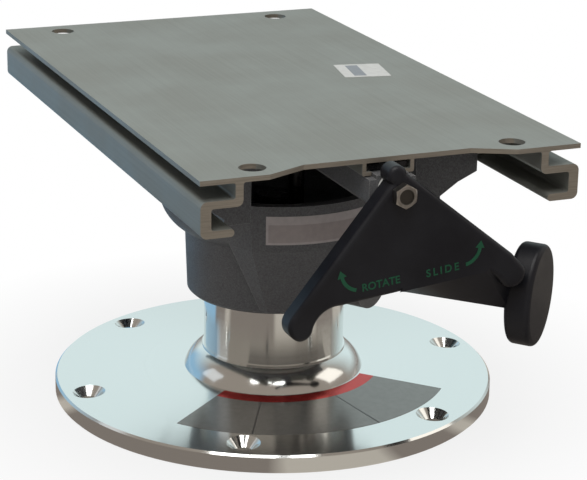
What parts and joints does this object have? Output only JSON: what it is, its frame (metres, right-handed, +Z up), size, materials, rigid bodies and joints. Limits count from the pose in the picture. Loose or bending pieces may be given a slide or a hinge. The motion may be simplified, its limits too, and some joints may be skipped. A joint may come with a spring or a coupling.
{
  "type": "seat pedestal",
  "caption": "Seat pedestal with a polished round base and post, a cast swivel head, a sliding aluminium seat plate on rails and a two-way release lever.",
  "frame": {"origin": "centre of the base's bolt circle, on the underside of the base", "axes": "+Z up along the post, -Y towards the lever, +X to the right seen from the lever's side"},
  "size_m": [0.2286, 0.3295, 0.1609],
  "materials": {
    "polished_metal": "mirror polished",
    "plain_steel": "machined",
    "white_plastic": "moulded",
    "grey_casting": "wrinkle paint",
    "black_plastic": "moulded, lightly textured",
    "satin_aluminium": "satin anodised"
  },
  "bodies": {
    "base": {"base_flange": "polished_metal", "post_tube": "polished_metal", "post_cap": "plain_steel", "thrust_washer": "white_plastic", "retaining_bolt": "plain_steel", "retaining_washer": "plain_steel"},
    "head": {"swivel_housing": "grey_casting", "lower_swivel_bush": "white_plastic", "upper_swivel_bush": "white_plastic", "drag_pad": "white_plastic", "drag_screw": "plain_steel", "glide_pad_front_left": "white_plastic", "glide_pad_front_right": "white_plastic", "glide_pad_rear_left": "white_plastic", "glide_pad_rear_right": "white_plastic", "glide_screws": "plain_steel", "front_shaft_bush": "white_plastic", "rear_shaft_bush": "white_plastic", "slide_lock_shoe": "plain_steel", "swivel_lock_rod": "plain_steel", "swivel_lock_pad": "black_plastic", "lever_return_spring": "plain_steel"},
    "seat": {"seat_plate": "satin_aluminium", "lock_strip": "plain_steel", "stop_pins": "plain_steel"},
    "handle": {"lever": "black_plastic", "pivot_bolt": "plain_steel", "lever_washer": "white_plastic", "lever_shaft": "plain_steel", "slide_cam": "plain_steel", "swivel_cam": "plain_steel", "cam_pins": "plain_steel"}
  },
  "joints": [
    {"name": "swivel", "type": "hinge", "parent": "base", "child": "head", "pos_m": [0, 0, 0.09], "axis": [0, 0, 1], "continuous": true},
    {"name": "seat_slide", "type": "slide", "parent": "head", "child": "seat", "axis": [0, 1, 0], "range_m": [0, 0.066]},
    {"name": "lever_rock", "type": "hinge", "parent": "head", "child": "handle", "pos_m": [0, -0.1, 0.1475], "axis": [0, 1, 0], "range_deg": [-12, 12], "stiffness_Nm_per_rad": 2, "deforming": ["lever_return_spring"]}
  ]
}
